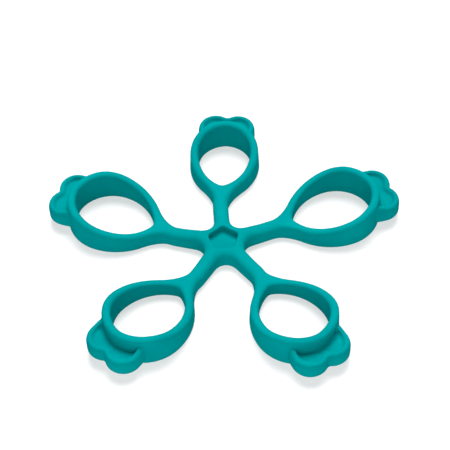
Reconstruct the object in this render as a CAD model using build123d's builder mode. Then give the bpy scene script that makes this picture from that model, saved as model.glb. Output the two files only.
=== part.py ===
"""Five-loop finger exerciser, moulded in one piece from soft silicone.

A star-shaped hub carries five short straps. Each strap ends in a teardrop finger loop, and each
loop has a two-lobed pull tab on its outer end. The straps bend sideways, bend up and down, and
stretch, so every arm is divided where the rubber gives way:

    hub -> strap root (swings sideways) -> strap (flexes up and down) -> finger loop with its tab (pulls out)

Frame: origin on the hub's axis at the flat base, +Z up out of the recessed face of the hub. Arm 1
points along +Y and the others follow anticlockwise, 72 degrees apart. Millimetres.
"""

import os
from math import cos, isclose, radians, sin, sqrt, tan

from build123d import *

# ---------------------------------------------------------------- driving dimensions, mm and degrees
ARMS = 5
FIRST_ARM_ANGLE = 90.0

# Hub
HUB_HEIGHT = 5.4
CROTCH_RADIUS = 3.2
RECESS_RADIUS = 4.4
RECESS_DEPTH = 2.1
RECESS_CORNER_ROUND = 0.5
HUB_EDGE_ROUND = 0.9

# Straps
STRAP_WIDTH = 4.2
STRAP_HEIGHT = 4.6
STRAP_EDGE_ROUND = 0.9

# Places along an arm, measured out from the hub's axis
SWING_AXIS = 7.4
FLEX_AXIS = 10.7
NECK_FACE = 13.2

# Bending joints: a knuckle turns in a seat with this gap all round
SEAT_GAP = 0.25
SWING_LIMIT = 18.0
FLEX_LIMIT = 38.0
WRAP_MARGIN = 6.0

# Finger loop of size 1: its places are measured out from the hub's axis, before the loop is turned
OPENING_START = 20.0
OPENING_WIDEST = 33.0
OPENING_END = 42.4
OPENING_HALF_WIDTH = 8.7
OPENING_NECK_ROUND = 1.6
OPENING_END_ROUND = 6.0
LOOP_WALL = 2.3
LOOP_OUTER_HEIGHT = 9.4
RISE_START = 22.0
RISE_END = 39.0
RISE_ROUND = 16.0
LOOP_EDGE_ROUND = 1.0
WEB_ROUND = 5.0

# Pull tab: a shallow tray with two round lobes and a raised rim
TAB_LOBE_OUT = 0.1
TAB_LOBE_APART = 3.2
TAB_LOBE_RADIUS = 4.6
TAB_BASE = 1.8
TAB_FLOOR = 5.4
TAB_RIM = 6.4
TAB_RIM_WIDTH = 1.4
TAB_EDGE_ROUND = 0.8
TAB_NOTCH_ROUND = 0.5

# How each soft arm lies at rest: its loop's turn sideways about the neck, and its size
LOOP_TURN = (-7.4, -9.2, -8.7, -9.1, -2.2)
LOOP_SIZE = (0.85, 1.02, 1.00, 1.00, 1.02)

# ---------------------------------------------------------------- worked out from those
HALF_WIDTH = STRAP_WIDTH / 2
SWING_SEAT = HALF_WIDTH + SEAT_GAP
FLEX_KNUCKLE = STRAP_HEIGHT / 2
FLEX_SEAT = FLEX_KNUCKLE + SEAT_GAP
SWING_WRAP = 90.0 - SWING_LIMIT - WRAP_MARGIN
FLEX_WRAP = 90.0 - FLEX_LIMIT - WRAP_MARGIN
SIDES_END = SWING_AXIS - HALF_WIDTH / 2
LIP_END = SWING_AXIS - SWING_SEAT * cos(radians(SWING_WRAP))
NECK_SPARE = 2.0
CLEAR = 40.0
NEGLIGIBLE = 0.01


def arm_plane(k, height=0.0):
    """Plan of arm k: x runs out along the strap and y across it."""
    angle = radians(FIRST_ARM_ANGLE + k * 360.0 / ARMS)
    return Plane(origin=(0, 0, height), x_dir=(cos(angle), sin(angle), 0), z_dir=(0, 0, 1))


def loop_plane(k, height=0.0):
    """Plan of loop k: as the arm's, turned about the middle of the neck face."""
    strap = radians(FIRST_ARM_ANGLE + k * 360.0 / ARMS)
    loop = strap + radians(LOOP_TURN[k])
    neck = (NECK_FACE * cos(strap), NECK_FACE * sin(strap), height)
    return Plane(origin=neck, x_dir=(cos(loop), sin(loop), 0), z_dir=(0, 0, 1))


def side_of(plan):
    """Elevation seen across a plan: x as in the plan, y up."""
    return Plane(origin=plan.origin, x_dir=plan.x_dir, z_dir=-plan.y_dir)


# ---------------------------------------------------------------- hub
def make_hub():
    """Five-pointed centre with hollow crotches, a pentagonal recess on top and a seat for each strap."""
    with BuildPart() as hub:
        with BuildSketch():
            with PolarLocations(0, ARMS, start_angle=FIRST_ARM_ANGLE):
                Rectangle(SWING_AXIS, STRAP_WIDTH, align=(Align.MIN, Align.CENTER))
            crotches = vertices().group_by(lambda v: round(Vector(*v).length, 3))[0]
            fillet(crotches, radius=CROTCH_RADIUS)
        extrude(amount=HUB_HEIGHT)
        level = edges().filter_by(Axis.Z, reverse=True)
        sides = level.filter_by(lambda e: Vector(*tuple(e @ 0.5)[:2]).length < SIDES_END)
        fillet(sides, radius=HUB_EDGE_ROUND)
        with BuildSketch(Plane.XY.offset(HUB_HEIGHT - RECESS_DEPTH)):
            RegularPolygon(RECESS_RADIUS, ARMS, rotation=FIRST_ARM_ANGLE)
            fillet(vertices(), radius=RECESS_CORNER_ROUND)
        extrude(amount=RECESS_DEPTH, mode=Mode.SUBTRACT)
        for k in range(ARMS):
            with BuildSketch(arm_plane(k)):
                with Locations((SWING_AXIS, 0)):
                    Circle(SWING_SEAT)
                with Locations((LIP_END, 0)):
                    Rectangle(SWING_AXIS, 2 * STRAP_WIDTH, align=(Align.MIN, Align.CENTER))
            extrude(amount=HUB_HEIGHT, mode=Mode.SUBTRACT)
    return hub


# ---------------------------------------------------------------- straps
def make_strap_root(k):
    """Short block between the two bending places: an upright knuckle inboard, a level seat outboard."""
    plan = arm_plane(k)
    with BuildPart() as root:
        with BuildSketch(plan):
            with Locations((SWING_AXIS, 0)):
                Circle(HALF_WIDTH)
                Rectangle(FLEX_AXIS - SWING_AXIS, STRAP_WIDTH, align=(Align.MIN, Align.CENTER))
        extrude(amount=STRAP_HEIGHT)
        fillet(edges().filter_by(Axis((0, 0, 0), plan.x_dir)), radius=STRAP_EDGE_ROUND)
        with BuildSketch(side_of(plan)):
            with Locations((FLEX_AXIS, FLEX_KNUCKLE)):
                Circle(FLEX_SEAT)
                with BuildLine():
                    high = STRAP_HEIGHT
                    run = high / tan(radians(FLEX_WRAP))
                    Polyline((0, 0), (-run, high), (high, high), (high, -high), (-run, -high), close=True)
                make_face()
        extrude(amount=STRAP_WIDTH, both=True, mode=Mode.SUBTRACT)
    return root


def make_strap(k):
    """Outer half of a strap: a level knuckle inboard, a flat face where the loop's neck begins."""
    plan = arm_plane(k)
    with BuildPart() as strap:
        with BuildSketch(side_of(plan)):
            with Locations((FLEX_AXIS, FLEX_KNUCKLE)):
                Circle(FLEX_KNUCKLE)
                Rectangle(NECK_FACE - FLEX_AXIS, STRAP_HEIGHT, align=(Align.MIN, Align.CENTER))
        extrude(amount=HALF_WIDTH, both=True)
        fillet(edges().filter_by(Axis((0, 0, 0), plan.x_dir)), radius=STRAP_EDGE_ROUND)
    return strap


# ---------------------------------------------------------------- finger loops
def teardrop(k, grown=0.0):
    """Outline of loop k's opening in the loop's own plan, or the same outline grown outwards."""
    size = LOOP_SIZE[k]
    start = OPENING_START - NECK_FACE
    widest = start + size * (OPENING_WIDEST - OPENING_START)
    end = start + size * (OPENING_END - OPENING_START)
    half = size * OPENING_HALF_WIDTH
    with BuildSketch() as face:
        with BuildLine():
            for tip, heading in ((start, -1), (end, 1)):
                side_radius = ((tip - widest) ** 2 + half**2) / (2 * half)
                run = sqrt((side_radius + grown) ** 2 - (side_radius - half) ** 2)
                TangentArc((widest, half + grown), (widest + heading * run, 0), tangent=(heading, 0))
            mirror(about=Plane.XZ)
        make_face()
        fillet(vertices().sort_by(Axis.X)[-1], radius=OPENING_END_ROUND * size + grown)
        fillet(vertices().sort_by(Axis.X)[0], radius=OPENING_NECK_ROUND + grown)
    return face.sketch


def loop_end(k):
    """How far loop k's outer wall reaches, measured out from the middle of its neck face."""
    return teardrop(k, LOOP_WALL).bounding_box().max.X


def make_finger_loop(k):
    """Teardrop band: low at the neck and tall at its outer end, with rounded rims."""
    plan = loop_plane(k)
    reach = loop_end(k) + NECK_SPARE
    web = OPENING_START - NECK_FACE
    with BuildPart() as loop:
        with BuildSketch(plan):
            add(teardrop(k, LOOP_WALL))
            with Locations((-NECK_SPARE, 0)):
                Rectangle(NECK_SPARE + web, STRAP_WIDTH, align=(Align.MIN, Align.CENTER))
        extrude(amount=LOOP_OUTER_HEIGHT + LOOP_WALL)
        crotches = edges().filter_by(Axis.Z).filter_by(
            lambda e: isclose(abs(plan.to_local_coords(e @ 0.5).Y), HALF_WIDTH, abs_tol=NEGLIGIBLE)
            and plan.to_local_coords(e @ 0.5).X > 0
        )
        fillet(crotches, radius=WEB_ROUND)
        with BuildSketch(plan):
            add(teardrop(k))
        extrude(amount=LOOP_OUTER_HEIGHT + LOOP_WALL, mode=Mode.SUBTRACT)
        with BuildSketch(side_of(plan)):
            with BuildLine():
                rise = FilletPolyline(
                    (-NECK_SPARE, STRAP_HEIGHT),
                    (RISE_START - NECK_FACE, STRAP_HEIGHT),
                    (RISE_END - NECK_FACE, LOOP_OUTER_HEIGHT),
                    (reach, LOOP_OUTER_HEIGHT),
                    radius=RISE_ROUND,
                )
                Polyline(rise @ 1, (reach, CLEAR), (-NECK_SPARE, CLEAR), rise @ 0)
            make_face()
        extrude(amount=CLEAR, both=True, mode=Mode.SUBTRACT)
        level = edges().filter_by(Axis.Z, reverse=True)
        rims = level.filter_by(lambda e: plan.to_local_coords(e @ 0.5).X > NEGLIGIBLE - NECK_SPARE)
        fillet(rims, radius=LOOP_EDGE_ROUND)
        with BuildSketch(arm_plane(k)):
            with Locations((NECK_FACE, 0)):
                Rectangle(CLEAR, CLEAR, align=(Align.MAX, Align.CENTER))
        extrude(amount=LOOP_OUTER_HEIGHT, mode=Mode.SUBTRACT)
    return loop


# ---------------------------------------------------------------- pull tabs
def tab_outline(out, inset=0.0):
    """Two overlapping lobes centred at x = out, filled in behind, or the same shape drawn in all round."""
    notch = out + sqrt(TAB_LOBE_RADIUS**2 - TAB_LOBE_APART**2)
    with BuildSketch() as face:
        with Locations((out, TAB_LOBE_APART), (out, -TAB_LOBE_APART)):
            Circle(TAB_LOBE_RADIUS - inset)
        with Locations((out, 0)):
            Rectangle(TAB_LOBE_RADIUS / 2, 2 * TAB_LOBE_APART, align=(Align.MAX, Align.CENTER))
        with BuildLine():
            Polyline((out, TAB_LOBE_APART), (notch, 0), (out, -TAB_LOBE_APART), close=True)
        make_face()
        with Locations((notch, 0)):
            Circle(inset + TAB_NOTCH_ROUND, mode=Mode.SUBTRACT)
    return face.sketch


def make_pull_tab(k):
    """Two-lobed tray on the loop's outer wall, with a floor and a raised rim round the lobes."""
    out = loop_end(k) + TAB_LOBE_OUT
    with BuildPart() as tab:
        with BuildSketch(loop_plane(k, TAB_BASE)):
            add(tab_outline(out))
        extrude(amount=TAB_RIM - TAB_BASE)
        fillet(edges().filter_by(Axis.Z, reverse=True), radius=TAB_EDGE_ROUND)
        with BuildSketch(loop_plane(k, TAB_FLOOR)):
            add(tab_outline(out, TAB_RIM_WIDTH))
        extrude(amount=TAB_RIM - TAB_FLOOR, mode=Mode.SUBTRACT)
        with BuildSketch(loop_plane(k)):
            add(teardrop(k, LOOP_WALL))
            with Locations((out - TAB_LOBE_RADIUS, 0)):
                Rectangle(CLEAR, CLEAR, align=(Align.MAX, Align.CENTER))
        extrude(amount=LOOP_OUTER_HEIGHT, mode=Mode.SUBTRACT)
    return tab


# ---------------------------------------------------------------- build and write every piece
def write(piece, name):
    """Labels a finished piece and writes its STEP file."""
    piece.part.label = name
    export_step(piece.part, f"parts/{name}.step")


os.makedirs("parts", exist_ok=True)
write(make_hub(), "hub")
for k in range(ARMS):
    write(make_strap_root(k), f"strap_root_{k + 1}")
    write(make_strap(k), f"strap_{k + 1}")
    write(make_finger_loop(k), f"finger_loop_{k + 1}")
    write(make_pull_tab(k), f"pull_tab_{k + 1}")
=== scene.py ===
from math import cos, pi, radians, sin

import bmesh
import bpy
import numpy as np
from mathutils import Matrix, Vector


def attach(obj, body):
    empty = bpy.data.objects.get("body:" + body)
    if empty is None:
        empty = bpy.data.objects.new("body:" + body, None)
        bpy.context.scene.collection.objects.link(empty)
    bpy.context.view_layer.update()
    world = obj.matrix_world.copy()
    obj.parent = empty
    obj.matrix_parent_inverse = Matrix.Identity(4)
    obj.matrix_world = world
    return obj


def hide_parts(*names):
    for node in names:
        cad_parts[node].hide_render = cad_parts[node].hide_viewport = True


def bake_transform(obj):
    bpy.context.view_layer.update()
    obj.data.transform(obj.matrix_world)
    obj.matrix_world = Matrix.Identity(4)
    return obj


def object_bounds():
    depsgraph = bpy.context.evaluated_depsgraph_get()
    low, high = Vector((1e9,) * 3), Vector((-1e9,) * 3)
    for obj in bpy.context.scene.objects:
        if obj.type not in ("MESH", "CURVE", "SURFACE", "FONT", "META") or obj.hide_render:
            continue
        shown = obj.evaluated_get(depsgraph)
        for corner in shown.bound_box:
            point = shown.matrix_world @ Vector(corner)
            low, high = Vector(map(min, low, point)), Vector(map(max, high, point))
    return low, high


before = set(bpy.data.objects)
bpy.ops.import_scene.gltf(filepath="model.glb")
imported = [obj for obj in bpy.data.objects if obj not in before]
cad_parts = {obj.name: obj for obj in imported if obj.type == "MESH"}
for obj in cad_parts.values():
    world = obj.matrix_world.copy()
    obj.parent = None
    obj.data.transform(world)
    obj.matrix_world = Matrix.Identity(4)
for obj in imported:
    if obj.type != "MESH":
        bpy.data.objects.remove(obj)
cad_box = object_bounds()

# Five-loop finger exerciser in matt silicone. The whole moulding is one soft form, described by
# its distance field in millimetres, turned into one mesh, and then cut where the rubber bends. The
# hub, bands and tabs ride on their bodies; the skins between them stay where they were made.
#
# A point is placed on its arm by u, the way out from the hub's axis, and v, the way across.

# ---------------------------------------------------------------- sizes in mm and degrees, as in the CAD
MM = 0.001
ARMS = 5
ARM_STEP = 360.0 / ARMS
FIRST_ARM_ANGLE = 90.0
HUB_HEIGHT = 5.4
RECESS_RADIUS = 4.4
RECESS_DEPTH = 2.1
HALF_WIDTH = 2.1
NECK_FACE = 13.2
OPENING_START = 20.0
OPENING_WIDEST = 33.0
OPENING_END = 42.4
OPENING_HALF_WIDTH = 8.7
LOOP_OUTER_HEIGHT = 9.4
TAB_LOBE_OUT = 0.1
TAB_LOBE_APART = 3.2
TAB_LOBE_RADIUS = 4.6
TAB_BASE = 1.8
TAB_FLOOR = 5.4
TAB_RIM = 6.4
LOOP_TURN = np.array([-7.4, -9.2, -8.7, -9.1, -2.2])
LOOP_SIZE = np.array([0.85, 1.02, 1.00, 1.00, 1.02])

# The soft form's own heights and walls. A span is a start and an end, mostly out along an arm.
NECK_HEIGHT = 4.7
HUB_FALL = (5.0, 12.5)
LOOP_RISE = (22.0, 39.0)
RISE_SOFTNESS = 0.12
TURN_SPAN = (12.4, 16.0)
LOOP_WALL = 2.25
DRAFT = 0.3
TIP_BLUNTNESS = 0.8
RECESS_SLOPE = 0.08
TAB_RIM_WIDTH = 1.35
TAB_BACK_DRAWN_OUT = 0.6
HORN_RISE = 0.8
HORN_SPAN = (0.2, 2.8)

# Its fillets and rounded edges
CROTCH_ROUND = 4.6
WEB_ROUND = 3.6
HUB_EDGE_ROUND = 2.2
STRAP_EDGE_ROUND = 1.9
LOOP_EDGE_ROUND = 1.1
LOWER_EDGE_ROUND = 0.9
HUB_TO_STRAP = (4.0, 9.0)
STRAP_TO_LOOP = (14.0, 22.0)
RECESS_ROUND = 0.8
RECESS_LIP_ROUND = 0.5
CUSP_ROUND = 1.0
TAB_EDGE_ROUND = 0.7
TAB_FILLET = 1.0
TAB_ROOT_FILLET = 0.5

# Where the skin is cut, out along an arm, and where it bends between those cuts
HUB_CUT = 5.9
SWING_CUT = 9.05
FLEX_CUT = 12.35
NECK_CUT = 19.3

# How far outside the loop's wall the tab is cut off
TAB_CUT = 0.35

# The parts between the cuts, from the hub outwards
HUB, STRAP_ROOT, STRAP, NECK, BAND, TAB = range(6)
CUTS = TAB

# How finely the form is meshed
GRID = 0.4
GRID_SPARE = 1.6
PROBE = 0.01
LANDING_STEPS = 4

# Silicone's colours, and the floor's size in metres
DEEP_TEAL = (0.0, 0.215, 0.222, 1)
LIGHT_TEAL = (0.0, 0.245, 0.253, 1)
FLOOR_HALF_SIDE = 3.0

# Camera, in degrees, metres and, for its lens, millimetres
CAMERA_AZIMUTH = 2.02
CAMERA_ELEVATION = 49.48
CAMERA_DISTANCE = 0.3711
CAMERA_ROLL = -2.29
CAMERA_LENS = 110.18
CAMERA_SHIFT = (0.0035, 0.0274)


# ---------------------------------------------------------------- distances
def ease(x, span):
    """0 before the span, 1 after it, smooth between."""
    t = np.clip((x - span[0]) / (span[1] - span[0]), 0, 1)
    return t * t * (3 - 2 * t)


def ramp(x, span, softness):
    """0 before the span, 1 after it, straight between, with soft ends."""
    t = (x - span[0]) / (span[1] - span[0])
    return (np.hypot(t, softness) - np.hypot(t - 1, softness) + 1) / 2


def joined(a, b, r):
    """Both solids, with a fillet of about r in the corner between them."""
    return np.maximum(r, np.minimum(a, b)) - np.hypot(np.maximum(r - a, 0), np.maximum(r - b, 0))


def shared(a, b, r):
    """What both solids hold, with its edge rounded by about r."""
    return np.minimum(-r, np.maximum(a, b)) + np.hypot(np.maximum(r + a, 0), np.maximum(r + b, 0))


def slab(plan, z, bottom, top, lower_round, upper_round):
    """An outline in plan stood up between two heights, its lower and upper edges rounded."""
    return shared(shared(plan, z - top, upper_round), bottom - z, lower_round)


# ---------------------------------------------------------------- the soft form
def arm_of(x, y):
    """Index of the arm whose fifth of the plan holds each point."""
    turn = np.degrees(np.arctan2(y, x)) - FIRST_ARM_ANGLE
    return np.rint(turn / ARM_STEP).astype(int) % ARMS


def on_arm(points):
    """Each point's arm, and its way out along and across the strap."""
    x, y = points[:, 0], points[:, 1]
    arm = arm_of(x, y)
    angle = np.radians(FIRST_ARM_ANGLE + arm * ARM_STEP)
    return arm, x * np.cos(angle) + y * np.sin(angle), y * np.cos(angle) - x * np.sin(angle)


def on_loop(points):
    """As on_arm, with the loop's turn at rest taken out beyond the neck."""
    arm, u, v = on_arm(points)
    turn = np.radians(LOOP_TURN)[arm] * ease(u, TURN_SPAN)
    out = u - NECK_FACE
    return arm, NECK_FACE + out * np.cos(turn) + v * np.sin(turn), v * np.cos(turn) - out * np.sin(turn)


def opening_end(arm):
    """How far out each loop's opening reaches."""
    return OPENING_START + LOOP_SIZE[arm] * (OPENING_END - OPENING_START)


def opening_plan(arm, u, v):
    """Distance to the edge of a loop's opening, negative inside the opening.

    Each side is two arcs that meet at the widest place. Softening v blunts the tips at both ends.
    """
    size = LOOP_SIZE[arm]
    widest = OPENING_START + size * (OPENING_WIDEST - OPENING_START)
    half = size * OPENING_HALF_WIDTH
    run = np.where(u < widest, OPENING_START, opening_end(arm)) - widest
    radius = (run**2 + half**2) / (2 * half)
    return np.hypot(u - widest, np.hypot(v, TIP_BLUNTNESS) + radius - half) - radius


def star_plan(u, v):
    """Distance to the straps' sides, with round crotches between neighbouring straps."""
    step = radians(ARM_STEP)
    neighbour = np.abs(np.abs(v) * cos(step) - u * sin(step)) - HALF_WIDTH
    star = joined(np.abs(v) - HALF_WIDTH, neighbour, CROTCH_ROUND)
    return np.maximum(star, u - OPENING_WIDEST)


def top_of(u, v):
    """Height of the upper face: tall at the hub, low at the neck, tallest round the fingertip end."""
    fall = ease(np.hypot(u, v), HUB_FALL)
    rise = ramp(u, LOOP_RISE, RISE_SOFTNESS)
    return HUB_HEIGHT + (NECK_HEIGHT - HUB_HEIGHT) * fall + (LOOP_OUTER_HEIGHT - NECK_HEIGHT) * rise


def edge_round(u, v):
    """Rounding of the upper edges: broad on the hub, nearly half round on straps and walls."""
    strap = HUB_EDGE_ROUND + (STRAP_EDGE_ROUND - HUB_EDGE_ROUND) * ease(np.hypot(u, v), HUB_TO_STRAP)
    return strap + (LOOP_EDGE_ROUND - STRAP_EDGE_ROUND) * ease(u, STRAP_TO_LOOP)


def pull_tab(arm, u, v, z, opening):
    """Two-lobed tray: a low floor inside a raised, tube-like rim that dips in between the lobes."""
    out = opening_end(arm) + LOOP_WALL + TAB_LOBE_OUT
    ahead = np.where(u > out, u - out, TAB_BACK_DRAWN_OUT * (u - out))
    plan = joined(*(np.hypot(ahead, w - TAB_LOBE_APART) - TAB_LOBE_RADIUS for w in (v, -v)), CUSP_ROUND)
    ring = np.abs(plan + TAB_RIM_WIDTH / 2) - TAB_RIM_WIDTH / 2
    crest = TAB_RIM + HORN_RISE * (1 - ease(opening - LOOP_WALL, HORN_SPAN))
    floor = slab(plan, z, TAB_BASE, TAB_FLOOR, TAB_EDGE_ROUND, TAB_EDGE_ROUND)
    rim = slab(ring, z, TAB_BASE, crest, TAB_EDGE_ROUND, TAB_EDGE_ROUND)
    tray = joined(floor, rim, TAB_FILLET)
    return np.maximum(tray, np.maximum(LOOP_WALL / 2 - opening, OPENING_WIDEST - u))


def recess(u, v, z):
    """Pentagonal hollow in the hub's face, its corners towards the straps."""
    half_side = pi / ARMS
    reach = RECESS_RADIUS * cos(half_side) - (HUB_HEIGHT - z) * RECESS_SLOPE
    edges = [u * cos(half_side) + w * sin(half_side) - reach for w in (v, -v)]
    return shared(shared(*edges, RECESS_ROUND), HUB_HEIGHT - RECESS_DEPTH - z, RECESS_ROUND)


def silicone(points):
    """Distance from each point to the surface of the moulding, negative inside it."""
    arm, u, v = on_loop(points)
    z = points[:, 2]
    opening = opening_plan(arm, u, v)
    wall = LOOP_WALL + DRAFT * (1 - z / top_of(u, v))
    outline = joined(star_plan(u, v), opening - wall, WEB_ROUND)
    body = slab(np.maximum(outline, -opening), z, 0.0, top_of(u, v), LOWER_EDGE_ROUND, edge_round(u, v))
    body = joined(body, pull_tab(arm, u, v, z, opening), TAB_ROOT_FILLET)
    return shared(body, -recess(u, v, z), RECESS_LIP_ROUND)


# ---------------------------------------------------------------- from the field to one mesh
def slope(points):
    """The field's gradient."""
    sides = []
    for axis in range(3):
        step = np.zeros(3)
        step[axis] = PROBE
        sides.append((silicone(points + step) - silicone(points - step)) / (2 * PROBE))
    return np.stack(sides, axis=1)


def outward(points):
    """Unit normals of the surface."""
    normals = slope(points)
    return normals / np.linalg.norm(normals, axis=1, keepdims=True)


def landed(points):
    """Points moved onto the surface along the gradient, by at most half a cell."""
    start = points
    for _ in range(LANDING_STEPS):
        uphill = slope(points)
        points = points - uphill * (silicone(points) / (uphill**2).sum(axis=1))[:, None]
        points = start + np.clip(points - start, -GRID / 2, GRID / 2)
    return points


def sampled(low, high):
    """The field on a grid of points over a box."""
    axes = [np.arange(a, b, GRID) for a, b in zip(low, high)]
    shape = [len(axis) for axis in axes]
    values = np.empty(shape)
    for level, z in enumerate(axes[2]):
        x, y = np.meshgrid(axes[0], axes[1], indexing="ij")
        points = np.stack([x.ravel(), y.ravel(), np.full(x.size, z)], axis=1)
        values[:, :, level] = silicone(points).reshape(x.shape)
    return values


def surface_net(values, low):
    """One vertex in each grid cell that the surface crosses, and one quad over each crossed edge."""
    shape = np.array(values.shape)
    strides = np.array([shape[1] * shape[2], shape[2], 1])
    flat = values.ravel()
    inside = flat < 0
    total = np.zeros((flat.size, 3))
    hits = np.zeros(flat.size)
    quads = []
    for axis in range(3):
        step = strides[axis]
        near = np.flatnonzero(inside[:-step] != inside[step:])
        place = np.stack(np.unravel_index(near, shape), axis=1).astype(float)
        keep = place[:, axis] < shape[axis] - 1
        near, place = near[keep], place[keep]
        place[:, axis] += flat[near] / (flat[near] - flat[near + step])
        left, below = strides[(axis + 1) % 3], strides[(axis + 2) % 3]
        cells = np.stack([near - left - below, near - below, near, near - left], axis=1)
        for corner in cells.T:
            np.add.at(total, corner, place)
            np.add.at(hits, corner, 1)
        quads.append(np.where(inside[near][:, None], cells, cells[:, ::-1]))
    used = np.flatnonzero(hits)
    order = np.full(flat.size, -1)
    order[used] = np.arange(len(used))
    points = np.asarray(low) + GRID * total[used] / hits[used][:, None]
    return points, order[np.concatenate(quads)]


def make_moulding():
    """The whole moulding as points in millimetres and quads."""
    low, high = (np.array(corner) / MM for corner in cad_box)
    low, high = low - GRID_SPARE, high + GRID_SPARE
    points, quads = surface_net(sampled(low, high), low)
    return landed(points), quads


# ---------------------------------------------------------------- cutting the skin into parts
def cut_levels(points):
    """For each cut, how far each point lies beyond it, one column a cut."""
    _, strap_out, _ = on_arm(points)
    arm, u, v = on_loop(points)
    past_wall = opening_plan(arm, u, v) - LOOP_WALL - TAB_CUT
    in_tab = np.minimum(past_wall, u - OPENING_WIDEST)
    along_strap = [strap_out - cut for cut in (HUB_CUT, SWING_CUT, FLEX_CUT)]
    return np.stack([*along_strap, u - NECK_CUT, in_tab], axis=1)


def split_faces(bm, cut):
    """Divides every face that lies on both sides of a cut, in the same order in every run."""
    points = np.array([v.co for v in bm.verts])
    levels = cut_levels(points)[:, cut]
    bm.verts.index_update()
    crossed = [e for e in bm.edges if levels[e.verts[0].index] * levels[e.verts[1].index] < 0]
    fresh = {}
    for edge in crossed:
        a, b = (levels[v.index] for v in edge.verts)
        fresh[bmesh.utils.edge_split(edge, edge.verts[0], a / (a - b))[1]] = True
    for face in dict.fromkeys(f for v in fresh for f in v.link_faces):
        ends = [v for v in face.verts if v in fresh]
        if len(ends) == 2:
            bmesh.utils.face_split(face, *ends)
    bm.verts.index_update()


def cut_moulding(points, quads):
    """The moulding's points and faces after the cuts, with each face's arm and part."""
    mesh = bpy.data.meshes.new("moulding")
    mesh.from_pydata(points.tolist(), [], quads.tolist())
    bm = bmesh.new()
    bm.from_mesh(mesh)
    bpy.data.meshes.remove(mesh)
    for cut in range(CUTS):
        split_faces(bm, cut)
    points = np.array([v.co for v in bm.verts])
    faces = [[v.index for v in f.verts] for f in bm.faces]
    bm.free()
    middles = np.array([points[face].mean(axis=0) for face in faces])
    return points, faces, on_arm(middles)[0], (cut_levels(middles) > 0).sum(axis=1)


# ---------------------------------------------------------------- pieces
def capped(points, faces):
    """A mesh of these faces, with a cap over each cut. The caps come last."""
    bm = bmesh.new()
    verts = [bm.verts.new(p) for p in points]
    for face in faces:
        bm.faces.new([verts[i] for i in face])
    rims = [e for e in bm.edges if e.is_boundary]
    caps = bmesh.ops.holes_fill(bm, edges=rims, sides=0)["faces"]
    bmesh.ops.triangulate(bm, faces=caps)
    return bm


def make_piece(name, points, faces, material):
    """One part of the moulding, with the whole moulding's normals on its skin."""
    used = np.unique(np.concatenate(faces))
    order = {old: new for new, old in enumerate(used)}
    places = points[used]
    normals = outward(places)
    bm = capped(places * MM, [[order[i] for i in face] for face in faces])
    mesh = bpy.data.meshes.new(name)
    bm.to_mesh(mesh)
    bm.free()
    mesh.polygons.foreach_set("use_smooth", [True] * len(mesh.polygons))
    mesh.update()
    corners = []
    for face in mesh.polygons:
        skin = face.index < len(faces)
        corners += [normals[i] if skin else face.normal for i in face.vertices]
    mesh.normals_split_custom_set([tuple(c) for c in corners])
    mesh.materials.append(material)
    piece = bpy.data.objects.new(name, mesh)
    bpy.context.collection.objects.link(piece)
    return piece


def make_parts(material):
    """Cuts the moulding into the hub and five arms' parts; hub, bands and tabs go on their bodies."""
    points, faces, arms, parts = cut_moulding(*make_moulding())

    def part(name, chosen):
        """The piece made of the chosen faces."""
        return make_piece(name, points, [faces[i] for i in np.flatnonzero(chosen)], material)

    star = part("hub_star", parts == HUB)
    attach(star, "hub")
    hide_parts("hub")
    for k in range(ARMS):
        n = k + 1
        own = arms == k

        root = part(f"strap_root_skin_{n}", own & (parts == STRAP_ROOT))
        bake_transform(root)
        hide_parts(f"strap_root_{n}")

        strap = part(f"strap_skin_{n}", own & (parts == STRAP))
        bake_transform(strap)
        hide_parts(f"strap_{n}")

        neck = part(f"loop_neck_{n}", own & (parts == NECK))
        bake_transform(neck)

        band = part(f"loop_band_{n}", own & (parts == BAND))
        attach(band, f"finger_loop_{n}")
        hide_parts(f"finger_loop_{n}")

        tab = part(f"tab_tray_{n}", own & (parts == TAB))
        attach(tab, f"finger_loop_{n}")
        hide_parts(f"pull_tab_{n}")


# ---------------------------------------------------------------- materials
def node_material(name):
    """A new material, its node tree, and its shader."""
    material = bpy.data.materials.new(name)
    material.use_nodes = True
    return material, material.node_tree, material.node_tree.nodes["Principled BSDF"]


def silicone_material():
    """Matt teal silicone: slightly clouded colour and a fine moulded grain, with no mirror gloss."""
    material, tree, shader = node_material("teal_silicone")
    nodes, links = tree.nodes, tree.links
    place = nodes.new("ShaderNodeTexCoord")
    cloud = nodes.new("ShaderNodeTexNoise")
    cloud.inputs["Scale"].default_value = 90
    cloud.inputs["Detail"].default_value = 3
    links.new(place.outputs["Object"], cloud.inputs["Vector"])
    tint = nodes.new("ShaderNodeValToRGB")
    deep, light = tint.color_ramp.elements
    deep.position = 0.3
    deep.color = DEEP_TEAL
    light.position = 0.7
    light.color = LIGHT_TEAL
    links.new(cloud.outputs["Fac"], tint.inputs["Fac"])
    links.new(tint.outputs["Color"], shader.inputs["Base Color"])
    roughness = nodes.new("ShaderNodeMapRange")
    roughness.inputs["To Min"].default_value = 0.52
    roughness.inputs["To Max"].default_value = 0.62
    links.new(cloud.outputs["Fac"], roughness.inputs["Value"])
    links.new(roughness.outputs["Result"], shader.inputs["Roughness"])
    grain = nodes.new("ShaderNodeTexNoise")
    grain.inputs["Scale"].default_value = 2600
    grain.inputs["Detail"].default_value = 2
    links.new(place.outputs["Object"], grain.inputs["Vector"])
    bump = nodes.new("ShaderNodeBump")
    bump.inputs["Strength"].default_value = 0.12
    bump.inputs["Distance"].default_value = 0.00004
    links.new(grain.outputs["Fac"], bump.inputs["Height"])
    links.new(bump.outputs["Normal"], shader.inputs["Normal"])
    shader.inputs["Specular IOR Level"].default_value = 0.0
    return material


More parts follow.
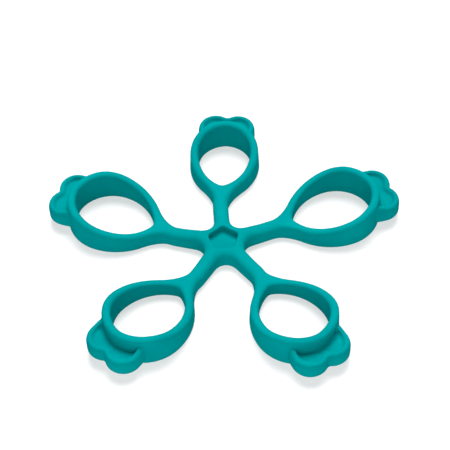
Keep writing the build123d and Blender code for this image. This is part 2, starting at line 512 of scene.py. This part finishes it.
def floor_material():
    """Pale light table: matt, glowing a little, so that shadows on it stay faint."""
    material, _, shader = node_material("pale_floor")
    shader.inputs["Base Color"].default_value = (0.4, 0.4, 0.4, 1)
    shader.inputs["Roughness"].default_value = 0.9
    shader.inputs["Specular IOR Level"].default_value = 0.0
    shader.inputs["Emission Color"].default_value = (1, 1, 1, 1)
    shader.inputs["Emission Strength"].default_value = 0.6
    return material


# ---------------------------------------------------------------- studio and camera
def make_floor():
    """Level square under the object."""
    signs = ((-1, -1), (1, -1), (1, 1), (-1, 1))
    corners = [(x * FLOOR_HALF_SIDE, y * FLOOR_HALF_SIDE, 0) for x, y in signs]
    mesh = bpy.data.meshes.new("floor")
    mesh.from_pydata(corners, [], [(0, 1, 2, 3)])
    mesh.materials.append(floor_material())
    floor = bpy.data.objects.new("floor", mesh)
    bpy.context.collection.objects.link(floor)


def make_softbox(name, place, size, power):
    """Square soft light that faces the object's middle."""
    data = bpy.data.lights.new(name, "AREA")
    data.size = size
    data.energy = power
    light = bpy.data.objects.new(name, data)
    light.location = place
    light.rotation_euler = Vector(place).to_track_quat("Z", "Y").to_euler()
    bpy.context.collection.objects.link(light)


def make_studio():
    """Floor, one soft light overhead, three weak fills low at the front and sides, a faint sky."""
    make_floor()
    make_softbox("overhead", place=(0.05, 0.4, 0.85), size=0.5, power=15.5)
    make_softbox("front_fill", place=(-0.03, -0.34, 0.12), size=0.2, power=0.65)
    make_softbox("left_fill", place=(-1.1, -0.5, 0.25), size=0.8, power=4.0)
    make_softbox("right_fill", place=(1.1, -0.5, 0.25), size=0.8, power=3.0)
    world = bpy.data.worlds.new("studio")
    world.use_nodes = True
    sky = world.node_tree.nodes["Background"]
    sky.inputs["Color"].default_value = (1, 1, 1, 1)
    sky.inputs["Strength"].default_value = 0.04
    bpy.context.scene.world = world
    bpy.context.scene.view_settings.view_transform = "Standard"


def make_camera():
    """Camera at the photograph's viewing angle, aimed at the middle of the hub's face."""
    data = bpy.data.cameras.new("camera")
    data.lens = CAMERA_LENS
    data.shift_x, data.shift_y = CAMERA_SHIFT
    data.clip_start = 0.01
    camera = bpy.data.objects.new("camera", data)
    side, lift = radians(CAMERA_AZIMUTH), radians(CAMERA_ELEVATION)
    back = Vector((-sin(side) * cos(lift), -cos(side) * cos(lift), sin(lift)))
    place = Matrix.Translation(Vector((0, 0, HUB_HEIGHT * MM)) + back * CAMERA_DISTANCE)
    aim = back.to_track_quat("Z", "Y").to_matrix().to_4x4()
    camera.matrix_world = place @ aim @ Matrix.Rotation(radians(CAMERA_ROLL), 4, "Z")
    bpy.context.collection.objects.link(camera)
    bpy.context.scene.camera = camera


make_camera()
make_studio()
make_parts(silicone_material())
